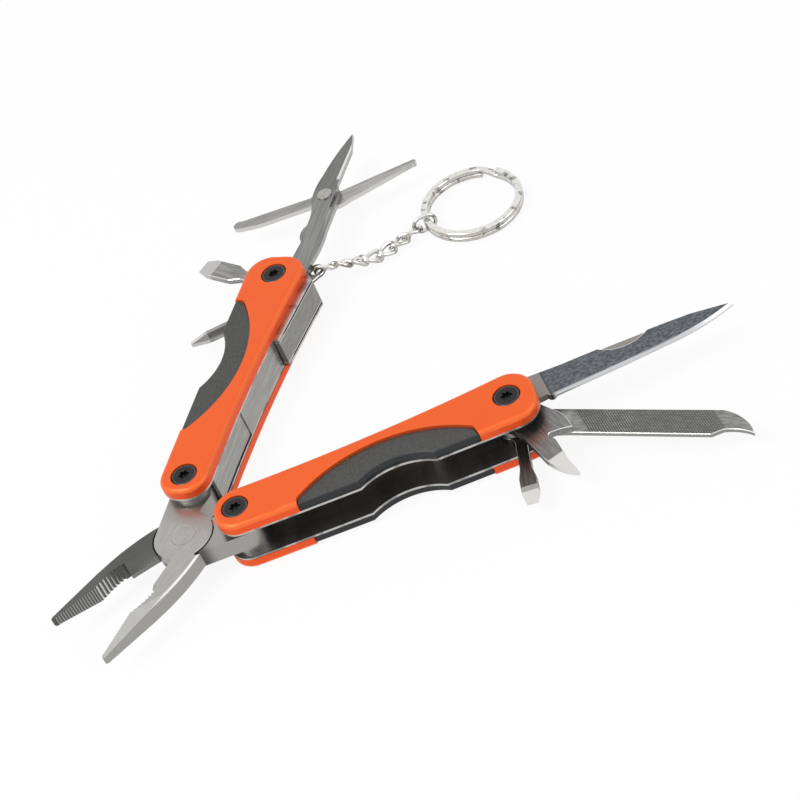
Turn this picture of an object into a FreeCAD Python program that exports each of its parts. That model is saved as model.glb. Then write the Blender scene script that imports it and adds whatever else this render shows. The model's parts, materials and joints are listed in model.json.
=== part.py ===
"""Keyring multi tool: needle-nose pliers with two fold-out handles that carry seven folding tools.

Millimetres, +Z up. The tool lies on one side, jaws and tools spread, as it does on a table.
Z = 0 is the surface it lies on, and every pivot stands upright. The plan is worked out from the
plier joint, and at the end everything is shifted so that the origin is the centre of the footprint.
"""
import FreeCAD, Part
import math
import os

V = FreeCAD.Vector
UP = V(0, 0, 1)

# ---- Driving dimensions -------------------------------------------------------------------

# Handle section: cover, liner, channel, liner, cover. The stack of tools sets the channel's width.
cover_thickness = 2.5
liner_thickness = 0.55

# Handle plan. x runs from the front pivot to the rear pivot, y towards the spine.
pivot_spacing = 58.9
front_reach = 4.7
rear_reach = 5.8
front_corner = 5.1
open_front_corner = 4.8
rear_corner = 5.4
spine_front = 5.7
spine_waist = 4.95
spine_rear = 7.15
open_front = 5.4
open_waist = 6.65
open_rear = 7.3
edge_round = 1.15
liner_inset = 0.12

# Grip inlay let into each cover, and the thumb notch that passes through inlay and liner
scoop_front = 12.5
scoop_rear = 50.5
scoop_end_depth = 4.5
scoop_peak = 2.0
scoop_run_out = 1.1
inlay_thickness = 1.95
inlay_clearance = 0.08
inlay_step = 0.35
notch_position = 32.9
notch_radius = 14.3
notch_peak_depth = 4.15

# Spine: a folded web, a narrower front finger and a separate back spring
web_thickness = 1.0
finger_start = 1.5
web_start = 20.0
web_end = 40.3
finger_width = 6.4
finger_step = 0.25
spring_gap = 0.35
spring_end = 60.5
spring_thickness = 1.4
spring_width = 6.2
spring_lug = 2.6
spine_rise = 1.0
spine_rise_corner = 0.9

# Pivot screws and their barrels
post_radius = 2.0
screw_shank_radius = 1.45
head_radius = 2.78
head_thickness = 1.15
head_recess = 0.12
head_clearance = 0.17
star_radius = 1.2
star_depth = 0.75
running_clearance = 0.05
layer_washer_radius = 3.6

# Pliers
plier_x = -51.45
plier_y = -5.0
plier_axis_angle = 26.55
jaw_opening = 31.7
tang_length = 12.8
closed_pivot_spacing = 11.3
plier_thickness = 4.2
boss_radius = 6.35
boss_gap = 0.35
lap_clearance = 0.03
tang_radius = 4.2
tang_stop = 0.15
jaw_length = 31.4
nose_half_width = 0.95
nose_thickness = 1.9
cutter_set_back = 1.25
plier_chamfer = 0.35
fine_tooth_depth = 0.17
coarse_tooth_depth = 0.48
plier_rivet_radius = 1.8
rivet_flare = 0.8
washer_radius = 4.15

# Directions in plan, in degrees from +X
left_handle_angle = 55.89
right_handle_angle = -3.41
knife_angle = 0.0
file_angle = -35.0
opener_angle = -75.0
small_driver_angle = -101.5
large_driver_angle = 128.8
scissors_angle = 55.9
cross_driver_angle = 181.0
hanger_angle = 16.0

# Tool layers at the rear pivots, from the top down; a thin washer lies over each and under the last
layer_washer = 0.2
knife_thickness = 1.4
opener_thickness = 1.7
file_thickness = 1.1
small_driver_thickness = 1.8
large_driver_thickness = 1.5
scissors_thickness = 1.1
hanger_thickness = 0.8
cross_driver_thickness = 2.6
tool_eye_radius = 4.6
tool_edge_ease = 0.14
shortest_eased_edge = 0.4

# Tool lengths from their pivots
knife_length = 49.2
file_length = 50.4
opener_length = 23.6
small_driver_length = 22.3
large_driver_length = 22.8
scissors_length = 51.5
scissors_rivet_distance = 30.65
cross_driver_length = 23.4
hanger_reach = 8.9
hanger_hole_radius = 1.3

# Scissors rivet and moving piece
scissors_rivet_radius = 1.1
scissors_head_radius = 1.75
scissors_head_height = 0.3
scissors_slip = 0.05
lever_length = 22.2
moving_blade_length = 22.3

# Chain and split ring
wire = 1.0
link_inner_width = 1.9
link_play = 0.14
chain_rolls = (78, -18, 62, -38, 44, -56, 18)
steepest_resting_roll = 56
chain_floor_gap = 0.06
chain_sag = 1.0
chain_landing = 0.62
loop_wire = 0.9
loop_inner_half_length = 2.15
loop_seat = 0.3
loop_inner_half_width = 1.45
ring_outer_radius = 11.8
ring_band = 1.6
ring_turn_height = 1.2
ring_turn_gap = 0.1
ring_x = 33.1
ring_y = 63.0
ring_tilt = 2.9
loop_overlap = 0.4

# ---- Values that follow from them ---------------------------------------------------------

right_thicknesses = (knife_thickness, opener_thickness, file_thickness, small_driver_thickness)
left_thicknesses = (large_driver_thickness, scissors_thickness, hanger_thickness, cross_driver_thickness)
layer_washers_per_side = len(right_thicknesses) + 1
tool_stack = max(sum(right_thicknesses), sum(left_thicknesses))
channel_gap = tool_stack + layer_washers_per_side * layer_washer

liner_z = cover_thickness
channel_z = liner_z + liner_thickness
top_liner_z = channel_z + channel_gap
top_cover_z = top_liner_z + liner_thickness
handle_thickness = top_cover_z + cover_thickness
middle_z = handle_thickness / 2
front_washer_thickness = (channel_gap - plier_thickness) / 2
post_bore = post_radius + running_clearance
link_count = len(chain_rolls)
link_lean = (link_inner_width / 2 + wire / 2) * math.sin(math.radians(steepest_resting_roll))
chain_rest_z = link_lean + wire / 2 + chain_floor_gap
loop_x = ring_x - ring_outer_radius + ring_band / 2 - loop_overlap
loop_z = loop_inner_half_width + loop_wire + chain_floor_gap


def polar(origin, angle, distance):
    """The point at a distance and a direction in plan from another point."""
    turn = math.radians(angle)
    return origin + V(distance * math.cos(turn), distance * math.sin(turn), 0)


plier_joint = V(plier_x, plier_y, 0)
tang_half_angle = math.degrees(math.asin(closed_pivot_spacing / 2 / tang_length))
left_front = polar(plier_joint, plier_axis_angle + jaw_opening / 2 + tang_half_angle, tang_length)
right_front = polar(plier_joint, plier_axis_angle - jaw_opening / 2 - tang_half_angle, tang_length)
left_rear = polar(left_front, left_handle_angle, pivot_spacing)
right_rear = polar(right_front, right_handle_angle, pivot_spacing)
scissors_rivet_point = polar(left_rear, scissors_angle - 0.93, scissors_rivet_distance)

parts = {}


# ---- Small helpers ------------------------------------------------------------------------

def face_of(start, *steps):
    """A flat face in the XY plane. A step is a point, or a pair: an arc through one to the other."""
    edges = []
    here = V(*start, 0)
    for step in steps:
        if isinstance(step[0], tuple):
            middle, end = V(*step[0], 0), V(*step[1], 0)
            edges.append(Part.Arc(here, middle, end).toShape())
        else:
            end = V(*step, 0)
            edges.append(Part.LineSegment(here, end).toShape())
        here = end
    if here.distanceToPoint(V(*start, 0)) > 1e-6:
        edges.append(Part.LineSegment(here, V(*start, 0)).toShape())
    return Part.Face(Part.Wire(edges))


def plate(face, z, thickness):
    """The face raised to z and given a thickness."""
    raised = face.copy()
    raised.translate(V(0, 0, z))
    return raised.extrude(V(0, 0, thickness))


def disc(x, y, z, radius, height):
    """An upright cylinder."""
    return Part.makeCylinder(radius, height, V(x, y, z))


def corner(centre_x, centre_y, radius, start, end):
    """The middle and end of an arc about a centre, as one step of face_of."""
    def at(angle):
        turn = math.radians(angle)
        return centre_x + radius * math.cos(turn), centre_y + radius * math.sin(turn)
    return at((start + end) / 2), at(end)


def slab(x0, x1, y0, y1, z, thickness):
    """A box between two x, two y and a height range."""
    return Part.makeBox(x1 - x0, y1 - y0, thickness, V(x0, y0, z))


def upside_down(shape, z):
    """The shape reflected in the level plane at z."""
    return shape.mirror(V(0, 0, z), UP)


def turned(shape, origin, angle):
    """A shape drawn about 0,0 turned in plan and moved to its place."""
    placed = shape.copy()
    placed.rotate(V(0, 0, 0), UP, angle)
    placed.translate(V(origin.x, origin.y, 0))
    return placed


def on_right(shape):
    return turned(shape, right_front, right_handle_angle)


def on_left(shape):
    """The left handle is the right one's mirror image, so its spine also faces inwards."""
    return turned(shape.mirror(V(0, 0, 0), V(0, 1, 0)), left_front, left_handle_angle)


def edges_where(shape, test):
    """The edges whose both ends and middle pass a test."""
    found = []
    for edge in shape.Edges:
        middle = edge.valueAt((edge.FirstParameter + edge.LastParameter) / 2)
        if all(test(p) for p in [middle] + [v.Point for v in edge.Vertexes]):
            found.append(edge)
    return found


# ---- Handle pieces, drawn along +X from the front pivot with the spine at +Y ---------------

def handle_blank(z, thickness, inset=0.0):
    """The whole outline of a handle, drawn in by an inset all round and given a thickness."""
    front_x = -front_reach + inset
    rear_x = pivot_spacing + rear_reach - inset
    spine = ((pivot_spacing / 2, spine_waist - inset), (rear_x, spine_rear - inset))
    open_edge = ((pivot_spacing / 2, -open_waist + inset), (front_x, -open_front + inset))
    outline = face_of((front_x, spine_front - inset), spine, (rear_x, -open_rear + inset), open_edge)
    blank = plate(outline, z, thickness)
    upright = edges_where(blank, lambda p: p.x < front_x + 0.01)
    upright = [edge for edge in upright if edge.Length > thickness - 0.01 and edge.BoundBox.YLength < 0.01]
    spine_side = [edge for edge in upright if edge.BoundBox.YMin > 0]
    open_side = [edge for edge in upright if edge.BoundBox.YMax < 0]
    blank = blank.makeFillet(front_corner - inset, spine_side)
    blank = blank.makeFillet(open_front_corner - inset, edges_where(blank, lambda p: p.x < front_x + 0.01
                                                                    and p.y < -open_front + inset + 0.3))
    upright = edges_where(blank, lambda p: p.x > rear_x - 0.01)
    upright = [edge for edge in upright if edge.BoundBox.YLength < 0.01]
    return blank.makeFillet(rear_corner - inset, upright)


def scoop_face(inset=0.0):
    """The curved cut-out in a cover's open side, drawn in by an inset for the inlay that fills it."""
    low = -open_rear - 2
    front = scoop_front + inset
    rear = scoop_rear - inset
    return face_of(
        (front, -scoop_end_depth),
        (((front + rear) / 2, scoop_peak - inset), (rear, -scoop_end_depth)),
        (rear + scoop_run_out, low),
        (front - scoop_run_out, low),
    )


def thumb_notch(z, thickness, extra=0.0):
    """The round-bottomed cylinder that cuts the thumb notch."""
    return disc(notch_position, -notch_peak_depth - notch_radius, z, notch_radius + extra, thickness)


def spine_strip(thickness, inset, z, height):
    """A strip of the given thickness that follows the spine edge of the handle."""
    outer = handle_blank(z, height, inset)
    inner = outer.copy()
    inner.translate(V(0, -thickness, 0))
    return outer.cut(inner)


def pivot_holes(radius, z, depth):
    return disc(0, 0, z, radius, depth).fuse(disc(pivot_spacing, 0, z, radius, depth))


def cover_blank():
    """Anodised side scale: outer edges rounded, then the cut-out for the grip inlay, edge eased."""
    cover = handle_blank(top_cover_z, cover_thickness)
    cover = cover.makeFillet(edge_round, edges_where(cover, lambda p: p.z > handle_thickness - 0.01))
    cover = cover.cut(plate(scoop_face(), top_cover_z, cover_thickness))
    seat_depth = head_thickness + head_recess
    return cover.cut(pivot_holes(head_radius + head_clearance, handle_thickness - seat_depth, seat_depth))


def top_cover():
    return cover_blank().cut(pivot_holes(screw_shank_radius + 0.1, top_cover_z, cover_thickness))


def bottom_cover():
    """The same scale on the other side, bored for the barrels instead of the screws."""
    cover = cover_blank().cut(pivot_holes(post_bore, top_cover_z, cover_thickness))
    return upside_down(cover, middle_z)


def top_inlay():
    """Grip inlay: fills the cut-out, a little lower than the cover, with the thumb notch in its edge."""
    blank = plate(scoop_face(inlay_clearance), top_cover_z, inlay_thickness)
    blank = blank.common(handle_blank(top_cover_z, inlay_thickness, inlay_step))
    inlay = blank.cut(thumb_notch(top_cover_z, inlay_thickness, inlay_step))
    top = top_cover_z + inlay_thickness
    return inlay.makeChamfer(0.2, edges_where(inlay, lambda p: p.z > top - 0.01))


def proud_steel():
    """Plan of the steel behind the seam: it stands out past the covers, more towards the rear."""
    start = web_end + spring_gap
    flush = spine_front + (spine_rear - spine_front) * start / pivot_spacing - liner_inset
    crest = spine_rear + spine_rise
    corner = spine_rise_corner
    foot = flush - spring_thickness - 0.3
    return face_of((start, foot), (start, flush), (spring_end - corner, crest), (spring_end, crest - corner), (spring_end, foot))


def channel():
    """Both liners and the spine that joins them: one folded piece, open along the thumb side."""
    liner = handle_blank(liner_z, liner_thickness, liner_inset)
    liner = liner.fuse(plate(proud_steel(), liner_z, liner_thickness))
    liner = liner.cut(thumb_notch(liner_z, liner_thickness))
    liners = liner.fuse(upside_down(liner, middle_z))
    height = top_cover_z - liner_z
    web = spine_strip(web_thickness, liner_inset, liner_z, height)
    web = web.common(slab(web_start, web_end, -open_rear, spine_rear + 1, liner_z, height))
    finger = spine_strip(web_thickness - finger_step, liner_inset + finger_step, liner_z, height)
    finger_z = middle_z - finger_width / 2
    finger = finger.common(
        slab(finger_start, web_start + 0.5, -open_rear, spine_rear + 1, finger_z, finger_width)
    )
    frame = liners.fuse([web, finger]).removeSplitter()
    return frame.cut(pivot_holes(post_bore, liner_z, height))


def back_spring():
    """Leaf that bears on the tool tangs; lugs at its fixed end seat it between the liners."""
    strip = plate(proud_steel(), channel_z, channel_gap)
    inner = strip.copy()
    inner.translate(V(0, -spring_thickness, 0))
    strip = strip.cut(inner)
    low = middle_z - spring_width / 2
    leaf = strip.common(slab(web_end, spring_end, -1, spine_rear + 3, low, spring_width))
    lug_end = web_end + spring_gap + spring_lug
    lug = strip.common(slab(web_end, lug_end, -1, spine_rear + 3, channel_z, channel_gap))
    return leaf.fuse(lug).removeSplitter()


def star_socket(z_low, depth):
    """Six-lobed driver socket."""
    socket = disc(0, 0, z_low, star_radius * 0.72, depth)
    for lobe in range(6):
        place = polar(V(0, 0, 0), 60 * lobe, star_radius * 0.72)
        socket = socket.fuse(disc(place.x, place.y, z_low, star_radius * 0.3, depth))
    return socket


def pivot_screw(x):
    """Screw: low round head with a star socket, and a shank that goes well into the barrel."""
    head_top = handle_thickness - head_recess
    head = disc(0, 0, head_top - head_thickness, head_radius, head_thickness)
    head = head.makeFillet(0.3, edges_where(head, lambda p: p.z > head_top - 0.01))
    screw = head.fuse(disc(0, 0, middle_z, screw_shank_radius, head_top - middle_z - 0.5))
    screw = screw.cut(star_socket(head_top - star_depth, star_depth + 0.1))
    screw.translate(V(x, 0, 0))
    return screw.removeSplitter()


def pivot_barrel(x):
    """Barrel nut: the post that everything turns on, with a matching head underneath."""
    head = disc(0, 0, head_recess, head_radius, head_thickness)
    head = head.makeFillet(0.3, edges_where(head, lambda p: p.z < head_recess + 0.01))
    post_top = top_cover_z
    barrel = head.fuse(disc(0, 0, head_recess + 0.5, post_radius, post_top - head_recess - 0.5))
    bore_z = middle_z - 1.0
    barrel = barrel.cut(disc(0, 0, bore_z, screw_shank_radius + running_clearance, post_top - bore_z))
    barrel = barrel.cut(star_socket(head_recess - 0.1, star_depth + 0.1))
    barrel.translate(V(x, 0, 0))
    return barrel.removeSplitter()


def washer(x, z, radius, thickness):
    return disc(x, 0, z, radius, thickness).cut(disc(x, 0, z, post_bore, thickness))


def front_washers():
    """Two thick washers that centre the plier tang between the liners."""
    upper_z = top_liner_z - front_washer_thickness
    return [
        washer(0, channel_z, washer_radius, front_washer_thickness),
        washer(0, upper_z, washer_radius, front_washer_thickness),
    ]


def tool_layers(thicknesses):
    """The height of each tool's underside, from the top down, with a washer over each."""
    levels = []
    z = top_liner_z
    for thickness in thicknesses:
        z -= layer_washer + thickness
        levels.append(z)
    return levels


def layer_washers(levels, thicknesses):
    """The thin washers over each tool and under the last one."""
    washers = []
    for z, thickness in zip(levels, thicknesses):
        washers.append(washer(pivot_spacing, z + thickness, layer_washer_radius, layer_washer))
    below = levels[-1] - channel_z
    washers.append(washer(pivot_spacing, channel_z, layer_washer_radius, below))
    return washers


def add_handle(side, place, levels, thicknesses):
    """All the pieces that belong to one handle."""
    pieces = {
        "top_cover": [top_cover()],
        "bottom_cover": [bottom_cover()],
        "top_inlay": [top_inlay()],
        "bottom_inlay": [upside_down(top_inlay(), middle_z)],
        "channel": [channel()],
        "back_spring": [back_spring()],
        "front_screw": [pivot_screw(0)],
        "rear_screw": [pivot_screw(pivot_spacing)],
        "front_barrel": [pivot_barrel(0)],
        "rear_barrel": [pivot_barrel(pivot_spacing)],
        "front_washers": front_washers(),
        "tool_washers": layer_washers(levels, thicknesses),
    }
    for name, solids in pieces.items():
        parts[side + "_" + name] = [place(solid) for solid in solids]


# ---- Pliers, drawn closed with the handles towards +X and the joint at 0,0 -----------------

def plier_face():
    """Plan of one half: jaw below the centre line, boss, and tang above it."""
    tang_x = tang_length * math.cos(math.radians(tang_half_angle))
    tang_y = tang_length * math.sin(math.radians(tang_half_angle))
    normal = tang_half_angle + math.degrees(math.acos((boss_radius - tang_radius) / tang_length))
    on_boss = polar(V(0, 0, 0), normal, boss_radius)
    on_tang = polar(V(tang_x, tang_y, 0), normal, tang_radius)
    heel = polar(V(tang_x, tang_y, 0), -60, tang_radius)
    tang = face_of(
        (0, 0), (on_boss.x, on_boss.y), (on_tang.x, on_tang.y), (tang_x, tang_y),
        (heel.x, heel.y), (tang_x - 0.6, tang_stop), (boss_radius - 0.1, tang_stop),
    )
    face = Part.makeCircle(boss_radius)
    face = Part.Face(Part.Wire(face)).fuse([tang, jaw_face()])
    end = Part.Face(Part.Wire(Part.makeCircle(tang_radius, V(tang_x, tang_y, 0))))
    return face.fuse(end).removeSplitter()


def pipe_grip(t):
    """The hollow of the pipe grip: t runs from its nose end, 0, to its joint end, 1."""
    return -jaw_length + 11.0 + 6.3 * t, -0.45 - 1.7 * math.sin(math.radians(90 * t))


def jaw_face():
    """Plan of one jaw: fine teeth at the nose, a toothed hollow, a gap and the cutter's root."""
    outline = [(-31.0, -0.1)]
    nose_x = -jaw_length + 0.9
    fine_teeth, fine_run = 17, 10.1
    for tooth in range(fine_teeth):
        x = nose_x + fine_run * tooth / fine_teeth
        crest = -0.1 - 0.3 * tooth / fine_teeth
        outline.append((x, crest))
        outline.append((x + 0.32, crest - fine_tooth_depth))
    coarse_teeth = 7
    for tooth in range(coarse_teeth):
        x, y = pipe_grip(tooth / coarse_teeth)
        outline.append((x, y))
        outline.append((x + 0.45, y - coarse_tooth_depth))
    gap_x, gap_y = pipe_grip(1)
    cutter_x = gap_x + 1.0
    outline += [(gap_x, gap_y), (cutter_x, gap_y - 0.1), (cutter_x, -cutter_set_back)]
    outline += [(-boss_radius, -cutter_set_back), (0, 0), (-3.7, -5.5), (-3.02, -6.33)]
    outline += [(-4.6, -6.35), ((-11.5, -5.75), (-17.6, -4.35)), (-jaw_length + 0.4, -nose_half_width)]
    outline += [(-jaw_length, -0.5)]
    return face_of(*outline)


def cutter_ridge():
    """The wire cutter: a ridge whose edge lies on the centre line at mid thickness."""
    start = pipe_grip(1)[0] + 1.0
    half = plier_thickness / 2
    root = -cutter_set_back - 0.3
    section = Part.makePolygon([V(start, root, -half), V(start, -cutter_set_back, -half),
                                V(start, -0.08, 0), V(start, -cutter_set_back, half),
                                V(start, root, half), V(start, root, -half)])
    return Part.Face(section).extrude(V(-boss_radius - 0.3 - start, 0, 0))


def nose_facet():
    """A block above the sloping facet that thins the jaw towards its tip and outer edge."""
    half = plier_thickness / 2
    a = V(-13.5, -5.5, half)
    b = V(-20.5, -0.4, half)
    tip = V(-jaw_length, -0.5, nose_thickness / 2)
    normal = (b - a).cross(tip - a)
    if normal.z < 0:
        normal = -normal
    block = Part.makeBox(90, 90, 6, V(-45, -45, 0))
    block.Placement = FreeCAD.Placement(a, FreeCAD.Rotation(UP, normal)).multiply(block.Placement)
    return block


def rivet_hole(clearance):
    """The plier rivet, or with a clearance the hole for it: a shank that flares at both faces."""
    half = plier_thickness / 2
    radius = plier_rivet_radius + clearance
    shank = disc(0, 0, -half, radius, plier_thickness)
    flare = Part.makeCone(radius, radius + rivet_flare, rivet_flare, V(0, 0, half - rivet_flare))
    return shank.fuse([flare, upside_down(flare, 0)]).removeSplitter()


def plier_half():
    """The upper half, centred on the joint's mid plane; the lower half is the same piece turned over."""
    half = plier_thickness / 2
    body = plate(plier_face(), -half, plier_thickness)
    rims = edges_where(body, lambda p: abs(p.z) > half - 0.01 and p.x < 0)
    outer = [edge for edge in rims if edge.Length > 1 and edge.CenterOfMass.y < -2.3]
    body = body.makeChamfer(plier_chamfer, outer).fuse(cutter_ridge())
    facet = nose_facet()
    body = body.cut(facet).cut(upside_down(facet, 0))
    body = body.cut(disc(0, 0, -half, boss_radius + boss_gap, half + lap_clearance))
    tang = polar(V(0, 0, 0), tang_half_angle, tang_length)
    body = body.cut(disc(tang.x, tang.y, -half, post_bore, plier_thickness))
    return body.cut(rivet_hole(running_clearance)).removeSplitter()


def add_pliers():
    upper = plier_half()
    lower = plier_half()
    lower.rotate(V(0, 0, 0), V(1, 0, 0), 180)
    for name, piece, opening in (("upper", upper, jaw_opening / 2), ("lower", lower, -jaw_opening / 2)):
        piece.translate(V(0, 0, middle_z))
        parts["plier_half_" + name] = [turned(piece, plier_joint, plier_axis_angle + opening)]
    rivet = rivet_hole(0)
    rivet.translate(V(0, 0, middle_z))
    parts["plier_rivet"] = [turned(rivet, plier_joint, plier_axis_angle)]


# ---- Tools, drawn along +X from their pivot -----------------------------------------------

def with_eye(face, z, thickness, radius=tool_eye_radius, ease=tool_edge_ease):
    """A tool plate joined to the eye that it turns on, its long edges eased, and bored for the post."""
    body = plate(face, z, thickness).fuse(disc(0, 0, z, radius, thickness)).removeSplitter()
    rims = edges_where(body, lambda p: min(abs(p.z - z), abs(p.z - z - thickness)) < 0.001)
    long_rims = [edge for edge in rims if edge.Length > shortest_eased_edge]
    if ease:
        body = body.makeChamfer(ease, long_rims)
    return body.cut(disc(0, 0, z, post_bore, thickness)).removeSplitter()


def knife(z):
    tip = knife_length
    face = face_of(
        (0, 4.4), (2.4, 4.5), (5.6, 5.9), (13, 5.1), ((30, 4.0), (tip - 8.5, 2.9)), ((tip - 3.5, 1.7), (tip, 0.85)),
        ((tip - 5, -0.75), (tip - 13, -1.85)), (25, -2.1), (8.8, -2.0), ((8.0, -1.85), (7.6, -1.2)),
        (4.4, -1.4), (0, -4.0),
    )
    blade = with_eye(face, z, knife_thickness, ease=0)
    nick = Part.makeCylinder(8, 1.2, V(26.6, 10.3, z + knife_thickness - 0.45))
    blade = blade.cut(nick)
    edge = edges_where(blade, lambda p: p.x > 9 and p.y < 0.84 and abs(p.z - z - knife_thickness / 2) > 0.3)
    return blade.makeChamfer(0.5, edge)


def nail_file(z):
    """File with cross-cut teeth on top and a hooked cleaning point."""
    end = file_length
    face = face_of(
        (0, 4.3), (6.5, 2.7), (end - 7.5, 2.85), ((end - 3.9, 1.4), (end - 0.7, -1.6)), (end, -3.1),
        ((end - 3.0, -2.25), (end - 6.4, -2.3)), (end - 8.6, -3.6), (12, -3.6), (4, -4.3), (0, -4.3),
    )
    return with_eye(face, z, file_thickness)


def can_opener(z):
    """Cap lifter and can claw in one plate, with a ground edge along the claw."""
    tip = opener_length
    face = face_of(
        (0, 4.4), (5.4, 5.9), ((8.5, 6.6), (11.6, 6.3)), (12.9, 5.95), ((11.4, 3.6), (10.8, 2.1)),
        ((11.0, 1.4), (11.8, 1.5)), (13.0, 1.7), (18.9, 0.55), (tip - 0.5, 0.35), (tip, -0.1),
        ((19.4, -2.3), (14.0, -2.8)), (6.5, -2.6), (0, -4.2),
    )
    blade = with_eye(face, z, opener_thickness)
    top = z + opener_thickness
    wedge = Part.makeBox(20, 20, 4, V(0, -10, 0))
    wedge.rotate(V(0, 0, 0), V(0, 1, 0), 10)
    wedge.translate(V(16.8, 0, top))
    return blade.cut(wedge)


def flat_driver(z, thickness, length, neck, width, tip, shoulder):
    """Flat screwdriver: narrow neck, wider blade and a tip ground thin on both faces."""
    face = face_of(
        (0, tool_eye_radius - 0.4), (5.6, neck), (shoulder, neck), (shoulder + 2.6, width),
        (length - 2.6, width), (length, tip), (length, -tip), (length - 2.6, -width),
        (shoulder + 2.6, -width), (shoulder, -neck), (5.6, -neck), (0, -tool_eye_radius + 0.4),
    )
    blade = with_eye(face, z, thickness)
    taper = 4.2
    edge = 0.35
    drop = (thickness - edge) / 2
    section = Part.makePolygon([V(length - taper, 0, 0), V(length + 1, 0, -drop * (taper + 1) / taper),
                                V(length + 1, 0, 1), V(length - taper, 0, 0)])
    grind = Part.Face(section).extrude(V(0, 20, 0))
    grind.translate(V(0, -10, z + thickness))
    return blade.cut([grind, upside_down(grind, z + thickness / 2)])


def cross_driver(z):
    """Cross-head screwdriver: a bar fluted into four ribs that meet at a point."""
    half = cross_driver_thickness / 2
    length = cross_driver_length
    rib = 0.42
    half_width = 1.75
    flat = face_of(
        (0, 4.2), (6.0, half_width), (length - 4.2, half_width), (length - 1.2, 0.75), (length, 0.35),
        (length, -0.35), (length - 1.2, -0.75), (length - 4.2, -half_width), (6.0, -half_width), (0, -4.2),
    )
    body = with_eye(flat, z, cross_driver_thickness)
    middle = z + half
    side = 3.0
    for up in (1, -1):
        for across in (1, -1):
            flute = Part.makeBox(length, side, side, V(9.0, 0, 0))
            flute.translate(V(0, rib if across > 0 else -rib - side, middle + (rib if up > 0 else -rib - side)))
            body = body.cut(flute)
    ramp = Part.makePolygon([V(length - 3.4, 0, half), V(length + 0.5, 0, 0.3), V(length + 0.5, 0, 3),
                             V(length - 3.4, 0, 3), V(length - 3.4, 0, half)])
    ramp = Part.Face(ramp).extrude(V(0, 10, 0))
    ramp.translate(V(0, -5, middle))
    return body.cut([ramp, upside_down(ramp, middle)])


def scissors_blade(z):
    """Shank and fixed blade. A slot splits a leaf from the shank's edge; it drives the lever open."""
    tip = scissors_length
    face = face_of(
        (0, 4.2), (7.5, 0.9), (15.0, 0.2), ((17.8, 1.3), (20.4, 0.6)), ((24, 0.8), (28.5, 2.2)),
        ((32.0, 2.6), (37.3, 2.1)), ((44, 1.1), (tip, -0.85)), (45.8, -2.4), (35.5, -2.6),
        ((33.2, -3.0), (31.9, -4.0)), (27.2, -4.6), (19, -4.8), ((13, -5.1), (8.5, -4.6)), (0, -4.5),
    )
    blade = with_eye(face, z, scissors_thickness, ease=0)
    slot = face_of((21.2, -3.35), (28.8, -3.0), (33.0, -3.0), (33.0, -3.9), (28.8, -3.9), (21.2, -3.75))
    blade = blade.cut(plate(slot, z, scissors_thickness))
    rivet = turned_back(scissors_rivet_point)
    return blade.cut(disc(rivet.x, rivet.y, z, scissors_rivet_radius + running_clearance, scissors_thickness))


def turned_back(point):
    """A plan point in the scissors' own drawing."""
    turn = -math.radians(scissors_angle)
    x = point.x - left_rear.x
    y = point.y - left_rear.y
    return V(x * math.cos(turn) - y * math.sin(turn), x * math.sin(turn) + y * math.cos(turn), 0)


def scissors_lever(z):
    """Finger lever and moving blade, drawn as they lie, about their rivet."""
    arm = lever_length
    reach = moving_blade_length
    face = face_of(
        (-3.2, 2.5), (-arm + 2.2, 5.35), ((-arm + 0.3, 5.3), (-arm + 0.2, 3.6)), ((-17.5, 1.9), (-11.9, 0.85)),
        (-3.2, -0.6), ((-0.6, -3.6), (4.1, -3.9)), (11.1, -3.0), (reach - 1.2, -1.6),
        ((reach, -0.95), (reach - 1.0, -0.2)), (11, 0.05), (3.4, 0.2), ((1.5, 2.9), (-3.2, 2.5)),
    )
    body = plate(face, z, scissors_thickness)
    return body.cut(disc(0, 0, z, scissors_rivet_radius + running_clearance, scissors_thickness))


def scissors_rivet(z_low, z_high):
    """Rivet with a low head on each side, a running fit in both pieces."""
    shank = disc(0, 0, z_low, scissors_rivet_radius, z_high - z_low)
    heads = [disc(0, 0, z_high, scissors_head_radius, scissors_head_height),
             disc(0, 0, z_low - scissors_head_height, scissors_head_radius, scissors_head_height)]
    return shank.fuse(heads).removeSplitter()


def hanger(z):
    """Plate on the rear pivot whose free end holds the chain."""
    face = face_of(
        (0, 3.3), (hanger_reach - 0.5, 2.15), corner(hanger_reach, 0, 2.2, 100, -100), (0, -3.3),
    )
    body = with_eye(face, z, hanger_thickness, 4.0)
    return body.cut(disc(hanger_reach, 0, z, hanger_hole_radius, hanger_thickness))


# ---- Chain and split ring -----------------------------------------------------------------

def oval_loop(radius, inner_half_length, inner_half_width):
    """A wire oval in the XY plane, long in X, centred on 0,0."""
    bend = inner_half_width + radius
    straight = inner_half_length - inner_half_width
    section = Part.Face(Part.Wire(Part.makeCircle(radius, V(straight, bend, 0), V(1, 0, 0))))
    end = section.revolve(V(straight, 0, 0), V(0, 0, -1), 180)
    side = section.extrude(V(-2 * straight, 0, 0))
    loop = end.fuse(side)
    other = loop.copy()
    other.rotate(V(0, 0, 0), UP, 180)
    return loop.fuse(other).removeSplitter()


def chain_hooks():
    """Where each link meets the next, from the hanger's eye down to the loop on the split ring."""
    start = polar(left_rear, hanger_angle, hanger_reach) + V((wire + link_play) / 2, 0, 0)
    end = V(loop_x - loop_inner_half_length + loop_seat, ring_y, 0)
    hooks = []
    for step in range(link_count + 1):
        t = step / link_count
        x = start.x + (end.x - start.x) * t
        y = start.y + (end.y - start.y) * t - chain_sag * math.sin(math.pi * t)
        still_to_fall = (1 + math.cos(math.pi * min(1, t / chain_landing))) / 2
        hooks.append(V(x, y, chain_rest_z + (hanger_mid_z - chain_rest_z) * still_to_fall))
    return hooks


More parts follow.
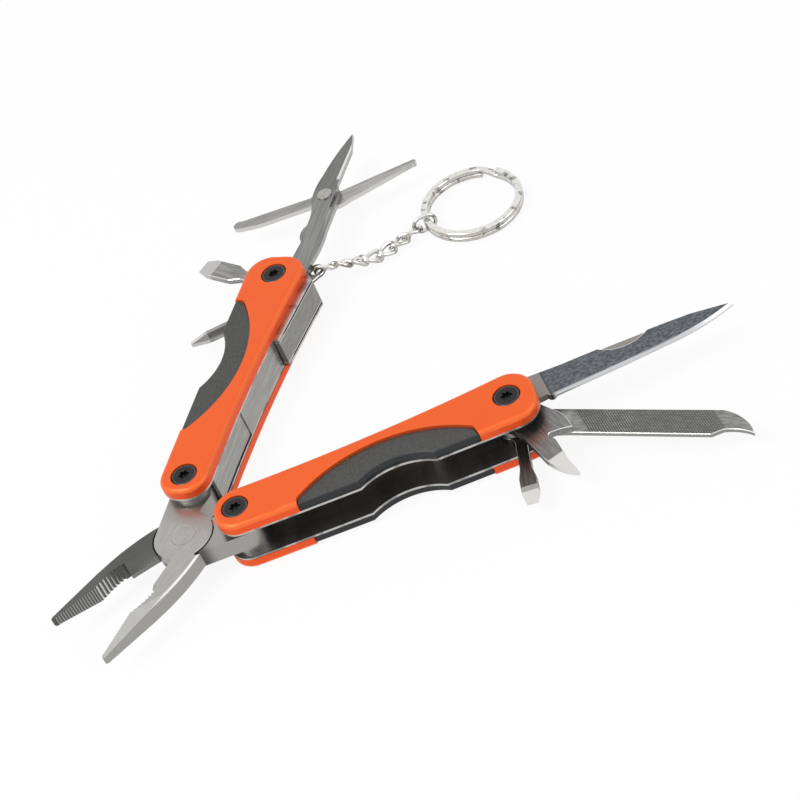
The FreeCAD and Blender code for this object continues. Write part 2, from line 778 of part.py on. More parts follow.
def place_link(loop, a, b, roll):
    """A loop drawn along X laid between two hooks and rolled about its own length."""
    laid = loop.copy()
    laid.rotate(V(0, 0, 0), V(1, 0, 0), roll)
    heading = FreeCAD.Placement((a + b) / 2, FreeCAD.Rotation(V(1, 0, 0), b - a))
    laid.Placement = heading.multiply(laid.Placement)
    return laid


def add_chain():
    """Oval links, each rolled about a quarter turn from the last, and the loop that holds the ring."""
    hooks = chain_hooks()
    for number, roll in enumerate(chain_rolls):
        a, b = hooks[number], hooks[number + 1]
        inner_half = ((b - a).Length + link_play) / 2
        link = oval_loop(wire / 2, inner_half, link_inner_width / 2)
        parts["chain_link_%d" % (number + 1)] = [place_link(link, a, b, roll)]
    loop = oval_loop(loop_wire / 2, loop_inner_half_length, loop_inner_half_width)
    loop.rotate(V(0, 0, 0), V(1, 0, 0), 90)
    loop.translate(V(loop_x, ring_y, loop_z))
    parts["ring_loop"] = [loop]


def split_ring():
    """Two turns of flat wire, one on the other, joined where the wire steps up."""
    inner = ring_outer_radius - ring_band

    def turn(z, slit_from, slit_to):
        band = disc(0, 0, z, ring_outer_radius, ring_turn_height)
        band = band.cut(disc(0, 0, z, inner, ring_turn_height))
        reach = ring_outer_radius + 2
        a, b = polar(V(0, 0, 0), slit_from, reach), polar(V(0, 0, 0), slit_to, reach)
        wedge = plate(face_of((0, 0), (a.x, a.y), (b.x, b.y)), z, ring_turn_height)
        return band.cut(wedge)

    upper_z = ring_turn_height + ring_turn_gap
    lower = turn(0, 52, 60)
    upper = turn(upper_z, 40, 48)
    step = disc(0, 0, 0, ring_outer_radius, upper_z + ring_turn_height)
    step = step.cut(disc(0, 0, 0, inner, upper_z + ring_turn_height))
    reach = ring_outer_radius + 2
    a, b = polar(V(0, 0, 0), 48, reach), polar(V(0, 0, 0), 52, reach)
    wedge = plate(face_of((0, 0), (a.x, a.y), (b.x, b.y)), 0, upper_z + ring_turn_height)
    ring = lower.fuse([upper, step.common(wedge)]).removeSplitter()
    ring.rotate(V(ring_outer_radius, 0, 0), V(0, 1, 0), ring_tilt)
    ring.translate(V(ring_x, ring_y, 0))
    return ring


# ---- Assembly -----------------------------------------------------------------------------

right_levels = tool_layers(right_thicknesses)
left_levels = tool_layers(left_thicknesses)
hanger_mid_z = left_levels[2] + hanger_thickness / 2

add_pliers()
add_handle("left", on_left, left_levels, left_thicknesses)
add_handle("right", on_right, right_levels, right_thicknesses)

knife_z, opener_z, file_z, small_driver_z = right_levels
parts["knife_blade"] = [turned(knife(knife_z), right_rear, knife_angle)]
parts["can_opener"] = [turned(can_opener(opener_z), right_rear, opener_angle)]
parts["nail_file"] = [turned(nail_file(file_z), right_rear, file_angle)]
small_driver = flat_driver(small_driver_z, small_driver_thickness, small_driver_length, 1.25, 1.75, 1.1, 13)
parts["small_screwdriver"] = [turned(small_driver, right_rear, small_driver_angle)]

large_driver_z, scissors_z, hanger_z, cross_driver_z = left_levels
large_driver = flat_driver(large_driver_z, large_driver_thickness, large_driver_length, 1.35, 2.45, 1.75, 10.6)
parts["large_screwdriver"] = [turned(large_driver, left_rear, large_driver_angle)]
parts["scissors_blade"] = [turned(scissors_blade(scissors_z), left_rear, scissors_angle)]
parts["lanyard_hanger"] = [turned(hanger(hanger_z), left_rear, hanger_angle)]
parts["cross_screwdriver"] = [turned(cross_driver(cross_driver_z), left_rear, cross_driver_angle)]
lever_z = scissors_z - scissors_slip - scissors_thickness
parts["scissors_lever"] = [turned(scissors_lever(lever_z), scissors_rivet_point, 0)]
rivet = scissors_rivet(lever_z, scissors_z + scissors_thickness)
parts["scissors_rivet"] = [turned(rivet, scissors_rivet_point, 0)]

add_chain()
parts["split_ring"] = [split_ring()]

# The origin is the centre of the footprint, on the surface that the tool lies on
whole = Part.makeCompound([solid for solids in parts.values() for solid in solids])
box = whole.optimalBoundingBox()
shift = V(-(box.XMin + box.XMax) / 2, -(box.YMin + box.YMax) / 2, 0)

os.makedirs("parts", exist_ok=True)
for name, solids in parts.items():
    shape = solids[0] if len(solids) == 1 else Part.makeCompound(solids)
    shape.translate(shift)
    shape.exportStep("parts/%s.step" % name)
    print(name, len(shape.Solids), round(shape.Volume, 2), shape.isValid())
print("box", box.XLength, box.YLength, box.ZMin, box.ZMax)
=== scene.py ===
# %% [markdown]
# # A keyring multi tool, dressed for a picture
# The exact solids of this tool come from a CAD model. This notebook gives each one its finish,
# models the chain and the split ring again with the shapes that the plain solids leave out,
# and sets up a pale studio. Everything is in metres, with +Z up through the handles.

# %% Load the CAD model
import bpy
import json
import math
from mathutils import Euler, Matrix, Vector


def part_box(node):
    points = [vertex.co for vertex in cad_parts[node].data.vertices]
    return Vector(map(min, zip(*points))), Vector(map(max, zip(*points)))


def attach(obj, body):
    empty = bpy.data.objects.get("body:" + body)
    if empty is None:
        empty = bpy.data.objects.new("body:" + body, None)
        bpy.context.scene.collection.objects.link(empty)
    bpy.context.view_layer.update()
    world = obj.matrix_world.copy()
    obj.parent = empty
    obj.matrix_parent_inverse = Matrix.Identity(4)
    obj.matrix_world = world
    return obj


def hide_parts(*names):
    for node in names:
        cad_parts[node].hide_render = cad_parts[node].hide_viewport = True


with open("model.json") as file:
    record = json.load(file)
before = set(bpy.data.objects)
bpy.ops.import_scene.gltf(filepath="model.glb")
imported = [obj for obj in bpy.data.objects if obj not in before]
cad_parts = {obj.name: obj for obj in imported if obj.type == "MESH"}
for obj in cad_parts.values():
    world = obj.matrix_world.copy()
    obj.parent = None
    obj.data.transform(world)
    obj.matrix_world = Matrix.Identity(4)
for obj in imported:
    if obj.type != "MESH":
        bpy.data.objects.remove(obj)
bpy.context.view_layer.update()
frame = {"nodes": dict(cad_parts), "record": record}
nodes = frame["nodes"]

# %% [markdown]
# Patterns such as grinding lines follow a tool, not the whole object, so each finish needs to know
# where its tool turns and which way it points. The pivots are read from the record's joints, and
# the directions are the ones that the tool lies in.

# %% Pivots and directions
MM = 0.001
joint = {j["name"]: Vector(j["pos_m"]) for j in frame["record"]["behaviour"]["joints"]}


def place_of(pivot, angle):
    """The origin and heading of a finish: below a pivot, at floor level, turned by degrees."""
    return Vector((joint[pivot].x, joint[pivot].y, 0)), angle


LEFT_HANDLE = place_of("left_fold", 55.89)
RIGHT_HANDLE = place_of("right_fold", -3.41)
PLIER_AXIS = 26.55
HALF_OPENING = 31.7 / 2
print("pivots:", len(joint))

# %% [markdown]
# A finish is a Principled shader plus a few things that vary over the surface: colour, roughness
# and height. This small class keeps those three sockets. A Mapping node of type TEXTURE undoes a
# tool's place, so `x` and `y` are millimetres along and across the tool itself, and `level` is 1
# on a level face and 0 on an upright one.

# %% A material that knows its tool
class Surface:
    def __init__(self, name, colour, roughness, metallic=1.0, place=(Vector(), 0.0), mirrored=False):
        self.material = bpy.data.materials.new(name)
        self.material.use_nodes = True
        self.tree = self.material.node_tree
        self.shader = self.tree.nodes["Principled BSDF"]
        self.shader.inputs["Metallic"].default_value = metallic
        where = self.tree.nodes.new("ShaderNodeTexCoord")
        mapping = self.tree.nodes.new("ShaderNodeMapping")
        mapping.vector_type = "TEXTURE"
        mapping.inputs["Location"].default_value = place[0]
        mapping.inputs["Rotation"].default_value = (0, 0, math.radians(place[1]))
        mapping.inputs["Scale"].default_value = (MM, -MM if mirrored else MM, MM)
        self.tree.links.new(where.outputs["Object"], mapping.inputs["Vector"])
        self.local = mapping.outputs["Vector"]
        split = self.tree.nodes.new("ShaderNodeSeparateXYZ")
        self.tree.links.new(self.local, split.inputs[0])
        self.x, self.y, self.z = split.outputs
        facing = self.tree.nodes.new("ShaderNodeSeparateXYZ")
        self.tree.links.new(where.outputs["Normal"], facing.inputs[0])
        self.level = self.calc("ABSOLUTE", facing.outputs[2])
        self.colour = colour
        self.roughness = roughness
        self.height = None

    def put(self, socket, value):
        """Links a socket, or sets a number, a vector or a colour."""
        if isinstance(value, bpy.types.NodeSocket):
            self.tree.links.new(value, socket)
        elif isinstance(value, tuple) and len(value) == 3 and socket.type == "RGBA":
            socket.default_value = (*value, 1)
        else:
            socket.default_value = value

    def calc(self, operation, a, b=0.0):
        """One sum on numbers or sockets."""
        node = self.tree.nodes.new("ShaderNodeMath")
        node.operation = operation
        self.put(node.inputs[0], a)
        self.put(node.inputs[1], b)
        return node.outputs[0]

    def both(self, a, b):
        """Where two masks are both 1."""
        return self.calc("MULTIPLY", a, b)

    def either(self, a, b):
        """Where one mask or the other is 1."""
        return self.calc("MAXIMUM", a, b)

    def ramp(self, value, start, end, low=0.0, high=1.0):
        """Goes smoothly from low to high while value goes from start to end."""
        node = self.tree.nodes.new("ShaderNodeMapRange")
        node.interpolation_type = "SMOOTHSTEP"
        for socket, given in zip(node.inputs, (value, start, end, low, high)):
            self.put(socket, given)
        return node.outputs[0]

    def band(self, value, low, high, soft=0.1):
        """1 between low and high, 0 outside."""
        begins = self.ramp(value, low - soft, low + soft)
        return self.both(begins, self.ramp(value, high - soft, high + soft, 1.0, 0.0))

    def distance(self, x=0.0, y=0.0):
        """Millimetres from a point of the tool, in plan."""
        across = self.calc("SUBTRACT", self.x, x)
        up = self.calc("SUBTRACT", self.y, y)
        squares = self.calc("ADD", self.both(across, across), self.both(up, up))
        return self.calc("SQRT", squares)


print("sums are ready")

# %% [markdown]
# Grinding lines are noise that is drawn out along the tool, and teeth, cuts and turning rings are
# a sine of some distance. Both are cheap, need no picture, and keep their scale in millimetres.

# %% Patterns
class Patterned(Surface):
    def noise(self, scale, stretch=(1, 1, 1), detail=4.0):
        """Noise in the tool's own millimetres, drawn out by a stretch."""
        stretched = self.tree.nodes.new("ShaderNodeVectorMath")
        stretched.operation = "MULTIPLY"
        self.put(stretched.inputs[0], self.local)
        stretched.inputs[1].default_value = stretch
        node = self.tree.nodes.new("ShaderNodeTexNoise")
        self.put(node.inputs["Vector"], stretched.outputs[0])
        node.inputs["Scale"].default_value = scale
        node.inputs["Detail"].default_value = detail
        return node.outputs[0]

    def waves(self, value, pitch, depth_share=0.5):
        """Ridges across a value, one each pitch."""
        turn = self.calc("MULTIPLY", value, 2 * math.pi / pitch)
        return self.ramp(self.calc("SINE", turn), depth_share - 1.0, 1.0 - depth_share)

    def mix(self, mask, below, above, colour=False):
        node = self.tree.nodes.new("ShaderNodeMix")
        node.data_type = "RGBA" if colour else "FLOAT"
        first = 6 if colour else 2
        self.put(node.inputs[0], mask)
        self.put(node.inputs[first], below)
        self.put(node.inputs[first + 1], above)
        return node.outputs[2 if colour else 0]


print("patterns are ready")

# %% [markdown]
# Stripes, painted light on slopes and walls, and grain are then laid over each other, each with a
# mask that is 1 where it shows. Only wear_on joins the result to the shader, so the order of layers
# is easy to follow.

# %% A finish that is built up in layers
class Finish(Patterned):
    def lay(self, mask, colour=None, roughness=None):
        """Another colour or roughness where the mask is 1."""
        if colour is not None:
            self.colour = self.mix(mask, self.colour, colour, colour=True)
        if roughness is not None:
            self.roughness = self.mix(mask, self.roughness, roughness)

    def raise_by(self, pattern, depth):
        """Adds a pattern to the height, depth in millimetres."""
        part = self.calc("MULTIPLY", pattern, depth)
        self.height = part if self.height is None else self.calc("ADD", self.height, part)

    # Painted light: sloped and upright faces get their own tones by which way they point.
    def painted_light_on_slopes(self, colour, roughness):
        """Painted light on faces that slope, neither level nor upright: lighter is painted highlight, darker
        is painted shade.
        """
        self.lay(self.band(self.level, 0.25, 0.985, 0.01), colour=colour, roughness=roughness)

    def painted_light_on_walls(self, colour, roughness):
        """Upright faces: the stamped edges."""
        # Painted light on upright faces: lighter is painted highlight, darker is painted shade.
        self.lay(self.ramp(self.level, 0.3, 0.2), colour=colour, roughness=roughness)

    def grain(self, scale, stretch, shade, rough, depth):
        """Fine lines or specks that show in colour, roughness and height together."""
        lines = self.noise(scale, stretch)
        dark = tuple(c * (1 - shade) for c in self.colour) if isinstance(self.colour, tuple) else None
        if dark:
            self.lay(self.ramp(lines, 0.66, 0.36), colour=dark)
        else:
            self.lay(self.calc("MULTIPLY", self.ramp(lines, 0.66, 0.36), shade), colour=(0.02, 0.02, 0.02))
        spread = self.calc("MULTIPLY", self.calc("SUBTRACT", lines, 0.5), rough)
        self.roughness = self.calc("ADD", self.roughness, spread)
        self.raise_by(lines, depth)

    def wear_on(self, *names):
        """Joins the layers to the shader and gives the finish to CAD nodes or pieces."""
        self.put(self.shader.inputs["Base Color"], self.colour)
        self.put(self.shader.inputs["Roughness"], self.roughness)
        if self.height is not None:
            bump = self.tree.nodes.new("ShaderNodeBump")
            bump.inputs["Distance"].default_value = MM
            self.put(bump.inputs["Height"], self.height)
            self.put(self.shader.inputs["Normal"], bump.outputs[0])
        for name in names:
            thing = nodes[name] if isinstance(name, str) else name
            thing.data.materials.clear()
            thing.data.materials.append(self.material)
        print(self.material.name, "on", len(names), "pieces")


# %% [markdown]
# The side scales are aluminium, blasted and then anodised orange. Anodising keeps the metal's own
# sparkle under a coloured skin, so the shader stays partly metallic. The grain is tiny and even.
# A paler band along the rounded rim is a painted highlight, and the deeper red of the upright sides
# is painted shade.

# %% Orange anodised scales
ORANGE = (0.86, 0.12, 0.016)
# The rim colour below is a painted highlight, and the wall colour is painted shade.
ORANGE_RIM_HIGHLIGHT = (0.95, 0.2, 0.05)
ORANGE_WALL_SHADE = (0.86, 0.085, 0.006)
BOTTOM = 0.0
TOP = 13.1


def orange_finish(name, place, mirrored):
    skin = Finish(name, ORANGE, 0.42, 0.3, place, mirrored)
    skin.grain(7.0, (1, 1, 1), 0.07, 0.1, 0.004)
    blotch = skin.noise(0.16, (1, 1, 1), 2.0)
    skin.lay(skin.ramp(blotch, 0.4, 0.75, 0.0, 0.3), colour=(0.8, 0.095, 0.012))
    # Painted highlight along the upper and lower rim, and painted shade on the upright walls.
    upper_rim_highlight = skin.band(skin.z, TOP - 1.0, TOP - 0.12, 0.12)
    rim_highlight = skin.either(upper_rim_highlight, skin.band(skin.z, BOTTOM + 0.12, BOTTOM + 1.0, 0.12))
    skin.painted_light_on_walls(ORANGE_WALL_SHADE, 0.4)
    skin.lay(skin.both(rim_highlight, 0.4), colour=ORANGE_RIM_HIGHLIGHT, roughness=0.34)
    skin.shader.inputs["Specular IOR Level"].default_value = 0.35
    return skin


orange_finish("left_anodised", LEFT_HANDLE, True).wear_on("left_top_cover", "left_bottom_cover")
orange_finish("right_anodised", RIGHT_HANDLE, False).wear_on("right_top_cover", "right_bottom_cover")

# %% [markdown]
# Each scale has a grip inlay let into it: dark grey metal with a fine sand-blasted face. Painted shade
# makes its sloped faces darker and its walls nearly black. Noise a fraction of a millimetre across
# gives the blasted look.

# %% Dark grip inlays
def inlay_finish(name, place, mirrored):
    face = Finish(name, (0.085, 0.084, 0.08), 0.46, 0.5, place, mirrored)
    face.grain(3.4, (1, 1, 1), 0.35, 0.16, 0.012)
    # Painted shade: darker sloped faces and nearly black walls.
    face.painted_light_on_slopes((0.05, 0.052, 0.056), 0.35)
    face.painted_light_on_walls((0.022, 0.024, 0.027), 0.4)
    return face

inlay_finish("left_inlay", LEFT_HANDLE, True).wear_on("left_top_inlay", "left_bottom_inlay")
inlay_finish("right_inlay", RIGHT_HANDLE, False).wear_on("right_top_inlay", "right_bottom_inlay")

# %% [markdown]
# The liners and the web are one folded steel strip. It is brushed along the handle, and its liners are
# bright with dull patches. Inside the channel it is painted dark, as painted shade, darker still in
# noisy patches. The back spring is the same steel, with a painted highlight along its two long edges.

# %% Folded steel channel and back springs
LOWER_LINER = 3.0
UPPER_LINER = 10.1


def channel_finish(name, place, mirrored):
    strip = Finish(name, (0.4, 0.392, 0.368), 0.34, 1.0, place, mirrored)
    strip.grain(1.5, (0.06, 2.5, 2.5), 0.3, 0.16, 0.006)
    # Painted shade inside the channel, darker still in noisy patches.
    inside = strip.both(strip.band(strip.z, LOWER_LINER, UPPER_LINER, 0.04), strip.ramp(strip.y, 4.15, 3.95))
    dark_patches = strip.ramp(strip.noise(0.9, (0.25, 1, 1), 5.0), 0.4, 0.62, 0.0, 0.6)
    strip.lay(inside, colour=(0.2, 0.184, 0.17), roughness=0.42)
    strip.lay(strip.both(inside, dark_patches), colour=(0.07, 0.064, 0.06))
    upper = strip.ramp(strip.z, UPPER_LINER - 0.1, UPPER_LINER)
    liner = strip.either(upper, strip.ramp(strip.z, LOWER_LINER + 0.1, LOWER_LINER))
    strip.lay(strip.both(liner, 0.9), colour=(0.55, 0.54, 0.52), roughness=0.28)
    dull = strip.ramp(strip.noise(0.3, (1, 0.2, 0.2), 3.0), 0.45, 0.62, 0.0, 0.7)
    strip.lay(strip.both(liner, dull), colour=(0.16, 0.155, 0.15))
    return strip

channel_finish("left_liner", LEFT_HANDLE, True).wear_on("left_channel")
channel_finish("right_liner", RIGHT_HANDLE, False).wear_on("right_channel")

def spring_finish(name, place, mirrored):
    leaf = Finish(name, (0.31, 0.3, 0.285), 0.34, 1.0, place, mirrored)
    leaf.grain(1.5, (0.06, 2.5, 2.5), 0.28, 0.14, 0.006)
    # Painted highlight along the leaf's two long edges.
    edge_highlight = leaf.either(leaf.band(leaf.z, 9.4, 9.7, 0.05), leaf.band(leaf.z, 3.4, 3.7, 0.05))
    leaf.lay(leaf.both(edge_highlight, 0.8), colour=(0.6, 0.59, 0.57), roughness=0.28)
    return leaf

spring_finish("left_spring", LEFT_HANDLE, True).wear_on("left_back_spring")
spring_finish("right_spring", RIGHT_HANDLE, False).wear_on("right_back_spring")

# %% [markdown]
# The pivot screws are black oxide, glossy on the crown and turned, so their fine lines run round
# the head. Distance from the screw's axis makes those rings.

# %% Black pivot screws
def screw_finish(name, place, along):
    turn = math.radians(place[1])
    centre = place[0] + Vector((math.cos(turn), math.sin(turn), 0)) * along * MM
    head = Finish(name, (0.018, 0.018, 0.02), 0.3, 0.6, (centre, 0.0))
    radius = head.distance()
    head.lay(head.band(radius, 2.3, 2.72, 0.1), colour=(0.07, 0.07, 0.075), roughness=0.24)
    head.raise_by(head.waves(radius, 0.16), 0.003)
    head.grain(2.0, (1, 1, 1), 0.3, 0.12, 0.004)
    return head

PIVOT_SPACING = 58.9
for side, place in (("left", LEFT_HANDLE), ("right", RIGHT_HANDLE)):
    for end, along in (("front", 0.0), ("rear", PIVOT_SPACING)):
        pivot = side + "_" + end
        screw_finish(pivot + "_oxide", place, along).wear_on(pivot + "_screw", pivot + "_barrel")

# %% [markdown]
# Washers are turned steel rings. The pair at each front pivot is thick and shows beside the tang,
# so the upper face is kept light and the rims get turning lines.

# %% Turned washers
ring_steel = Finish("washer_steel", (0.4, 0.4, 0.4), 0.3)
ring_steel.grain(2.2, (1, 1, 3), 0.35, 0.15, 0.006)
ring_steel.wear_on("left_front_washers", "right_front_washers", "left_tool_washers", "right_tool_washers")

# %% [markdown]
# The two plier halves have the same shape and the same steel. The upper half is painted lighter and
# the lower one darker, as lit and shaded copies. Both are satin ground along the jaw, and one flank of
# each tooth gets a painted highlight. Upright faces get painted shade and sloped ones painted light.
# The tangs are alike.

# %% Plier halves
COARSE_TEETH = dict(start=-20.4, end=-14.1, pitch=0.9, depth=-2.8, shine=0.8)
FINE_TEETH = dict(start=-30.5, end=-20.4, pitch=0.594, depth=-0.8, shine=0.3)


def paint_tooth_highlights(steel, start, end, pitch, depth, shine):
    """Paints a highlight on one flank of each tooth, between two places along the jaw."""
    flanks = steel.waves(steel.calc("SUBTRACT", steel.x, start), pitch)
    bite = steel.both(steel.band(steel.x, start, end, 0.02), steel.band(steel.y, depth, 0.3))
    bite = steel.both(bite, steel.ramp(steel.level, 0.3, 0.2, 0.0, shine))
    # Painted highlight on one flank of each tooth.
    steel.lay(steel.both(bite, flanks), colour=(0.75, 0.75, 0.74), roughness=0.2)


def plier_finish(name, angle, colour, bevel, roughness, mirrored):
    steel = Finish(name, colour, roughness, 1.0, place_of("plier_joint", angle), mirrored)
    steel.grain(2.0, (0.12, 1.8, 1.8), 0.14, 0.12, 0.004)
    pits = steel.noise(1.1, (1, 1, 1), 6.0)
    steel.lay(steel.ramp(pits, 0.66, 0.8, 0.0, 0.35), colour=(0.08, 0.075, 0.07), roughness=0.5)
    # Painted shade on upright faces, and painted light on sloped ones below.
    steel.painted_light_on_walls(tuple(c * 0.8 for c in colour), 0.34)
    steel.lay(steel.ramp(steel.x, 1.0, 4.0), colour=(0.36, 0.35, 0.33))
    steel.painted_light_on_slopes(bevel, 0.36)
    for teeth in (COARSE_TEETH, FINE_TEETH):
        paint_tooth_highlights(steel, **teeth)
    return steel

# The upper half is painted lighter and the lower one darker: lit and shaded copies of one steel.
lit_plier = plier_finish("upper_plier_lit_steel", PLIER_AXIS + HALF_OPENING,
                    (0.45, 0.44, 0.42), (0.52, 0.51, 0.49), 0.34, False)
lit_plier.wear_on("plier_half_upper", "plier_rivet")
dark = plier_finish("lower_plier_shaded_steel", PLIER_AXIS - HALF_OPENING,
                    (0.12, 0.12, 0.115), (0.13, 0.13, 0.127), 0.3, True)
dark.wear_on("plier_half_lower")
rivet_steel = Finish("rivet_steel", (0.5, 0.48, 0.45), 0.32)
rivet_steel.grain(2.0, (1, 1, 1), 0.3, 0.15, 0.006)
rivet_steel.wear_on("scissors_rivet")

# %% [markdown]
# The knife blade is dark satin steel. Its cutting edge is ground to a bright strip, the ricasso by
# the pivot stays plain and light, and a painted highlight runs along the rim of the nail nick.
# Its sloped and upright faces are painted lighter, as painted highlight.

# %% Knife
NICK_CENTRE = (26.6, 10.3)
NICK_RADIUS = 8.0
RICASSO_END = 8.3

blade = Finish("knife_steel", (0.175, 0.19, 0.205), 0.32, 1.0, place_of("knife_hinge", 0.0))
blade.grain(2.2, (0.6, 1, 1), 0.5, 0.2, 0.01)
along = blade.either(blade.calc("DIVIDE", blade.calc("SUBTRACT", blade.x, 28.0), 21.2), 0.0)
belly = blade.both(blade.calc("POWER", along, 2.6), 2.95)
from_edge = blade.calc("SUBTRACT", blade.y, blade.calc("SUBTRACT", belly, 2.1))
ground = blade.both(blade.ramp(from_edge, 0.48, 0.38), blade.ramp(blade.x, 8.6, 9.2))
# Painted highlight: sloped and upright faces are lighter.
blade.painted_light_on_slopes((0.34, 0.35, 0.36), 0.3)
blade.painted_light_on_walls((0.3, 0.31, 0.32), 0.3)
blade.lay(ground, colour=(0.58, 0.59, 0.6), roughness=0.28)
print("the cutting edge is laid")

# %% [markdown]
# The nail nick is a shallow round cut. Distance from the cutter's centre gives both its floor and the
# painted highlight along its rim. The ricasso ends in a dark line across the blade.

# %% Nail nick and ricasso
from_nick = blade.distance(*NICK_CENTRE)
blade.lay(blade.ramp(from_nick, NICK_RADIUS, NICK_RADIUS - 0.1), colour=(0.3, 0.28, 0.26), roughness=0.38)
# Painted highlight along the rim of the nick.
rim_highlight = blade.band(from_nick, NICK_RADIUS - 0.14, NICK_RADIUS + 0.12, 0.06)
blade.lay(rim_highlight, colour=(0.75, 0.72, 0.68), roughness=0.22)
ricasso = blade.ramp(blade.x, RICASSO_END, RICASSO_END - 0.2)
blade.lay(ricasso, colour=(0.27, 0.25, 0.225), roughness=0.42)
blade.lay(blade.band(blade.x, RICASSO_END - 0.15, RICASSO_END + 0.15, 0.05), colour=(0.08, 0.08, 0.085))
blade.wear_on("knife_blade")

# %% [markdown]
# The file is the same steel left lighter. Fine slanted cuts cross it between the shank and the
# hooked tip, and a second set crosses them further out. Two sets of waves make the cuts, and the
# same waves sink the surface.

# %% Nail file
CUT_PITCH = 0.55
CUT_DEPTH = 0.06

file = Finish("file_steel", (0.33, 0.335, 0.32), 0.34, 1.0, place_of("file_hinge", -35.0))
file.grain(1.6, (0.3, 1.4, 1.4), 0.4, 0.15, 0.006)
slant = file.calc("ADD", file.x, file.both(file.y, 0.75))
back_slant = file.calc("SUBTRACT", file.x, file.both(file.y, 0.6))
second_set = file.both(file.waves(back_slant, CUT_PITCH, 0.4), file.ramp(file.x, 24.0, 30.0))
cuts = file.either(file.waves(slant, CUT_PITCH, 0.4), file.both(second_set, 0.8))
flat_face = file.ramp(file.level, 0.95, 0.99)
cuts = file.both(cuts, file.both(file.band(slant, 14.0, 43.0, 0.3), flat_face))
file.lay(cuts, colour=(0.12, 0.122, 0.116), roughness=0.5)
file.raise_by(cuts, -CUT_DEPTH)
file.lay(file.ramp(file.x, 12.5, 11.0), colour=(0.42, 0.41, 0.39))
# Painted highlight on the sloped faces and painted shade on the upright ones.
file.painted_light_on_slopes((0.7, 0.69, 0.67), 0.24)
file.painted_light_on_walls((0.28, 0.28, 0.27), 0.34)
file.wear_on("nail_file")

# %% [markdown]
# The other small tools are stamped and then ground only where they work. Each gets satin steel
# along its length and a bright tip from a chosen distance on. Their sloped faces are painted lighter,
# as painted highlight.

# %% Small tools
def stamped(name, place, colour, bright_from, bright):
    steel = Finish(name, colour, 0.34, 1.0, place)
    steel.grain(1.4, (0.15, 2.0, 2.0), 0.35, 0.14, 0.007)
    steel.lay(steel.ramp(steel.x, bright_from - 0.1, bright_from + 0.1), colour=bright, roughness=0.26)
    # Painted highlight on the sloped faces.
    steel.painted_light_on_slopes((0.68, 0.67, 0.65), 0.24)
    return steel

WORKED_TIP = (0.72, 0.71, 0.69)
SMALL_TOOLS = (
    ("can_opener", "opener_hinge", -75.0, (0.27, 0.27, 0.26), 16.9, WORKED_TIP),
    ("small_screwdriver", "small_driver_hinge", -101.5, (0.13, 0.13, 0.125), 19.3, WORKED_TIP),
    ("large_screwdriver", "large_driver_hinge", 128.8, (0.36, 0.355, 0.35), 18.6, (0.5, 0.495, 0.485)),
    ("cross_screwdriver", "cross_driver_hinge", 181.0, (0.4, 0.395, 0.385), 19.2, (0.52, 0.51, 0.5)),
    ("lanyard_hanger", "scissors_hinge", 16.0, (0.22, 0.205, 0.19), 11.6, WORKED_TIP),
)
for tool, pivot, angle, colour, bright_from, tip in SMALL_TOOLS:
    stamped(tool + "_steel", place_of(pivot, angle), colour, bright_from, tip).wear_on(tool)

# %% [markdown]
# The scissors are two satin plates on a rivet. The fixed blade is darker beyond the rivet, and the
# moving blade is lighter. Their edges are painted lighter, as painted highlight, and one side of
# the moving blade is painted darker, as painted shade in its hollow.

# %% Scissors
scissors = Finish("scissors_steel", (0.3, 0.3, 0.295), 0.33, 1.0, place_of("scissors_hinge", 55.9))
scissors.grain(1.3, (0.08, 2.2, 2.2), 0.32, 0.14, 0.006)
scissors.lay(scissors.ramp(scissors.x, 31.0, 33.0, 0.0, 0.55), colour=(0.14, 0.14, 0.135))
cutting = scissors.both(scissors.ramp(scissors.x, 35.5, 36.0), scissors.ramp(scissors.y, -1.75, -1.95))
scissors.lay(cutting, colour=(0.75, 0.74, 0.72), roughness=0.24)
# Painted highlight on the sloped and upright faces.
scissors.painted_light_on_slopes((0.68, 0.67, 0.65), 0.24)
scissors.painted_light_on_walls((0.42, 0.415, 0.4), 0.3)
scissors.wear_on("scissors_blade")

lever = Finish("lever_steel", (0.48, 0.474, 0.458), 0.32, 1.0, place_of("lever_hinge", 0.0))
lever.grain(1.3, (0.1, 2.2, 2.2), 0.32, 0.14, 0.006)
# Painted shade over one side of the moving blade, in its hollow.
hollow_shade = lever.calc("ADD", lever.y, lever.both(lever.x, 0.04))
lever.lay(lever.ramp(hollow_shade, -0.1, 0.1, 0.0, 0.4), colour=(0.2, 0.195, 0.19))
# Painted highlight on the upright faces.
lever.painted_light_on_walls((0.62, 0.61, 0.59), 0.28)
lever.wear_on("scissors_lever")

# %% [markdown]
# The chain is a curb chain: every link is an oval that was twisted so that the chain lies flat.
# A torus is a good start for a link. Its two halves are pulled apart into an oval in edit mode,
# and a twist modifier turns one end against the other by about a right angle.

# %% One twisted link
WIRE = 1.0 * MM
LINK_INNER_WIDTH = 1.9 * MM
LINK_PLAY = 0.14 * MM

def only(thing):
    bpy.ops.object.select_all(action="DESELECT")
    thing.select_set(True)
    bpy.context.view_layer.objects.active = thing

